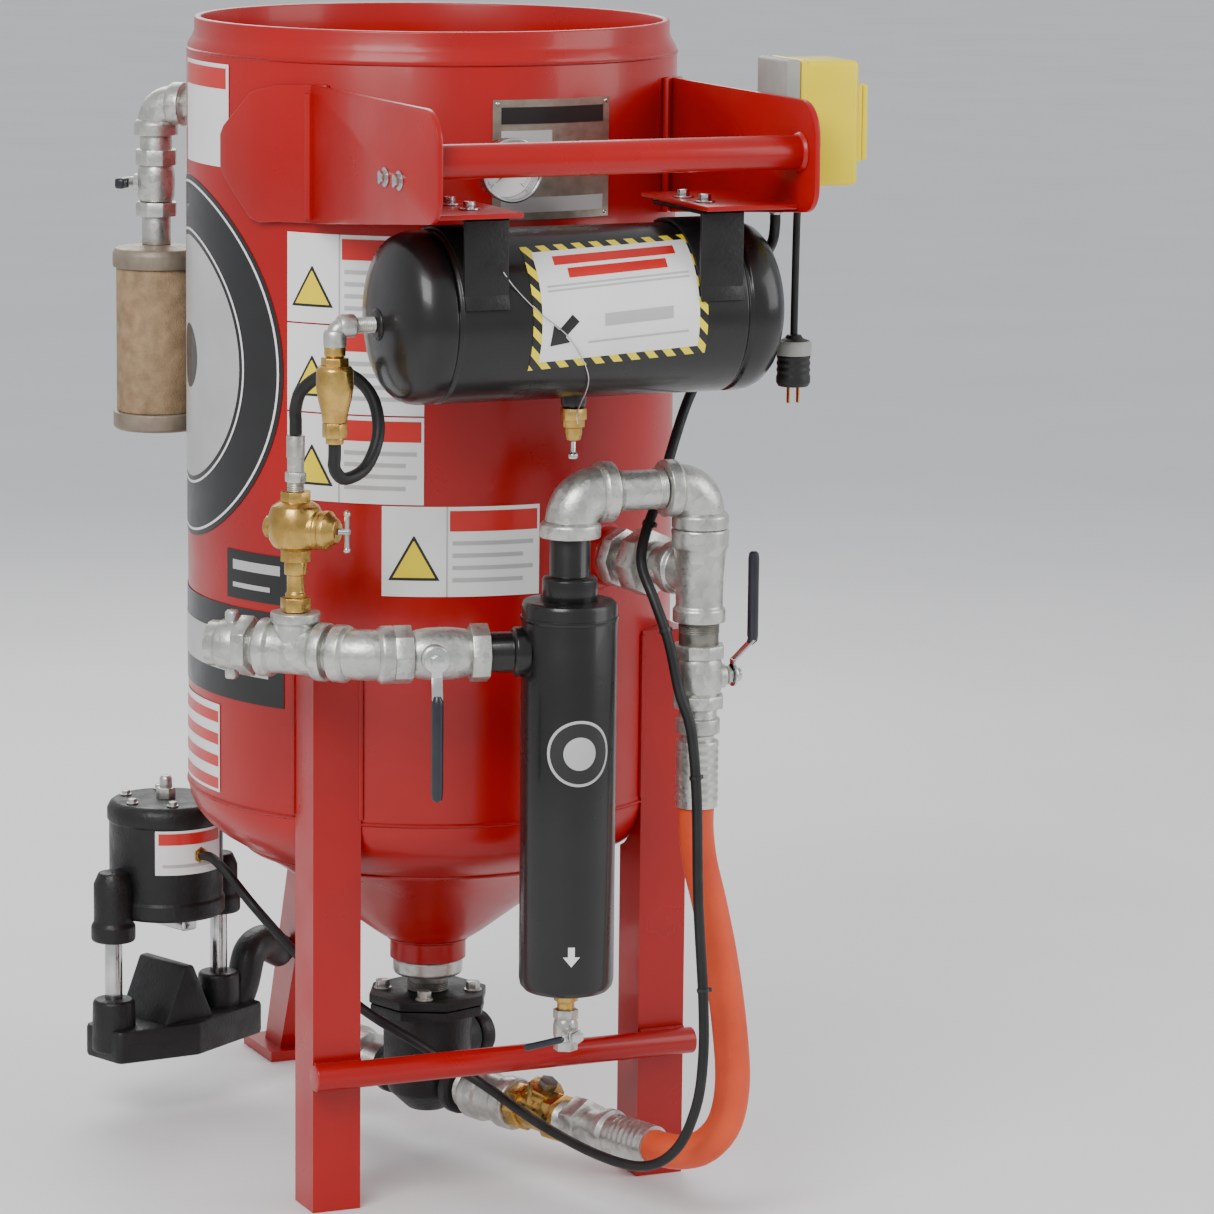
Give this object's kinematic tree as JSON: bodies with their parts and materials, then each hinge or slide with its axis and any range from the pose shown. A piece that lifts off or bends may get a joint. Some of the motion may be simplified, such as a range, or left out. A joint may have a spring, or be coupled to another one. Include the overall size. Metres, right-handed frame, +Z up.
{
  "type": "abrasive blast pot",
  "caption": "Portable abrasive blasting pressure pot on three legs with air tank, moisture separator, inlet piping, metering valve, hose pinch valve, muffler and handle.",
  "frame": {"origin": "on the floor, under the middle of the box round the rigid parts", "axes": "+Z up; the handle and air tank are on the -Y side, the exhaust muffler is at -X +Y"},
  "size_m": [0.7488, 1.167, 1.447],
  "materials": {
    "red_paint": "gloss red enamel",
    "black_coat": "satin black coating",
    "zinc": "galvanised",
    "brass": "machined brass",
    "orange_hose": "ribbed rubber cover",
    "black_rubber": "matt rubber",
    "yellow_plastic": "moulded plastic",
    "grey_plastic": "moulded plastic",
    "tan_bronze": "porous sintered element",
    "steel": "turned steel"
  },
  "bodies": {
    "pot": {"air_guide_pipe": "steel", "air_hose_loop": "black_rubber", "air_tank": "black_coat", "blast_air_hose": "orange_hose", "blast_outlet": "zinc", "bottom_head": "red_paint", "check_valve": "brass", "choke_valve_body": "zinc", "control_box_back": "grey_plastic", "control_box_cover": "yellow_plastic", "control_hose": "black_rubber", "crossbar": "red_paint", "crossover_elbow_left": "zinc", "crossover_elbow_right": "zinc", "drain_valve_body": "zinc", "exhaust_elbow": "zinc", "exhaust_valve_body": "zinc", "fill_gasket": "black_rubber", "front_leg_left": "red_paint", "front_leg_right": "red_paint", "gauge_case": "steel", "handle_bar": "red_paint", "handle_plate_left": "red_paint", "handle_plate_right": "red_paint", "hose_fitting": "zinc", "inlet_elbow": "zinc", "inlet_tee": "zinc", "inlet_valve_body": "zinc", "metering_cap": "black_coat", "metering_valve_body": "black_coat", "muffler_body": "tan_bronze", "muffler_caps": "grey_plastic", "outlet_nipple": "zinc", "pinch_base": "black_coat", "pinch_cylinder": "black_coat", "port_union": "zinc", "power_cable": "black_rubber", "power_plug": "black_rubber", "push_line": "zinc", "rear_leg": "red_paint", "regulator_body": "brass", "riser_tee": "zinc", "separator": "black_coat", "shell_barrel": "red_paint", "tank_bracket_left": "black_coat", "tank_bracket_right": "black_coat", "tank_drain_valve": "brass", "top_head": "red_paint", "top_rim": "red_paint"},
    "fill_valve": {"fill_valve": "steel"},
    "inlet_lever": {"inlet_valve_lever": "black_rubber"},
    "choke_lever": {"choke_valve_lever": "black_rubber"},
    "drain_lever": {"drain_valve_lever": "black_rubber"},
    "exhaust_knob": {"exhaust_handle": "black_rubber"},
    "regulator_screw": {"regulator_handle": "steel"},
    "needle": {"gauge_needle": "black_rubber"},
    "tank_drain_tip": {"tank_drain_stem": "steel"},
    "box_lid": {"control_box_lid": "yellow_plastic"},
    "metering_ram": {"metering_plunger": "steel"},
    "pinch_ram": {"pinch_plunger": "black_coat"}
  },
  "joints": [
    {"name": "fill_valve_lift", "type": "slide", "parent": "pot", "child": "fill_valve", "axis": [0, 0, 1], "range_m": [0, 0.0435]},
    {"name": "inlet_valve_turn", "type": "hinge", "parent": "pot", "child": "inlet_lever", "pos_m": [-0.14679, -0.41905, 0.722], "axis": [0.225, 0.9744, 0], "range_deg": [0, 90]},
    {"name": "choke_valve_turn", "type": "hinge", "parent": "pot", "child": "choke_lever", "pos_m": [0.24065, -0.4115, 0.678], "axis": [1, 0, 0], "range_deg": [0, 90]},
    {"name": "drain_valve_turn", "type": "hinge", "parent": "pot", "child": "drain_lever", "pos_m": [0.02635, -0.4378, 0.256], "axis": [0, -1, 0], "range_deg": [0, 90]},
    {"name": "exhaust_valve_turn", "type": "hinge", "parent": "pot", "child": "exhaust_knob", "pos_m": [-0.27743, 0.30795, 1.224], "axis": [-0.7337, 0.6794, 0], "range_deg": [0, 90]},
    {"name": "regulator_turn", "type": "hinge", "parent": "pot", "child": "regulator_screw", "pos_m": [-0.23731, -0.33291, 0.868], "axis": [0.6947, -0.7193, 0], "range_deg": [-180, 180]},
    {"name": "needle_turn", "type": "hinge", "parent": "pot", "child": "needle", "pos_m": [-0.02565, -0.3235, 1.29], "axis": [0, 1, 0], "range_deg": [0, 270]},
    {"name": "tank_drain_tilt", "type": "hinge", "parent": "pot", "child": "tank_drain_tip", "pos_m": [0.02885, -0.4115, 0.9735], "axis": [1, 0, 0], "range_deg": [-10, 10]},
    {"name": "box_lid_open", "type": "hinge", "parent": "pot", "child": "box_lid", "pos_m": [0.36765, -0.449, 1.393], "axis": [0, -1, 0], "range_deg": [0, 95]},
    {"name": "metering_plunger_open", "type": "slide", "parent": "pot", "child": "metering_ram", "axis": [0.9474, 0.3201, 0], "range_m": [0, 0.019]},
    {"name": "pinch_plunger_close", "type": "slide", "parent": "pot", "child": "pinch_ram", "axis": [0, 0, -1], "range_m": [0, 0.04], "stiffness_N_per_m": 2000, "springref_m": -0.02}
  ]
}
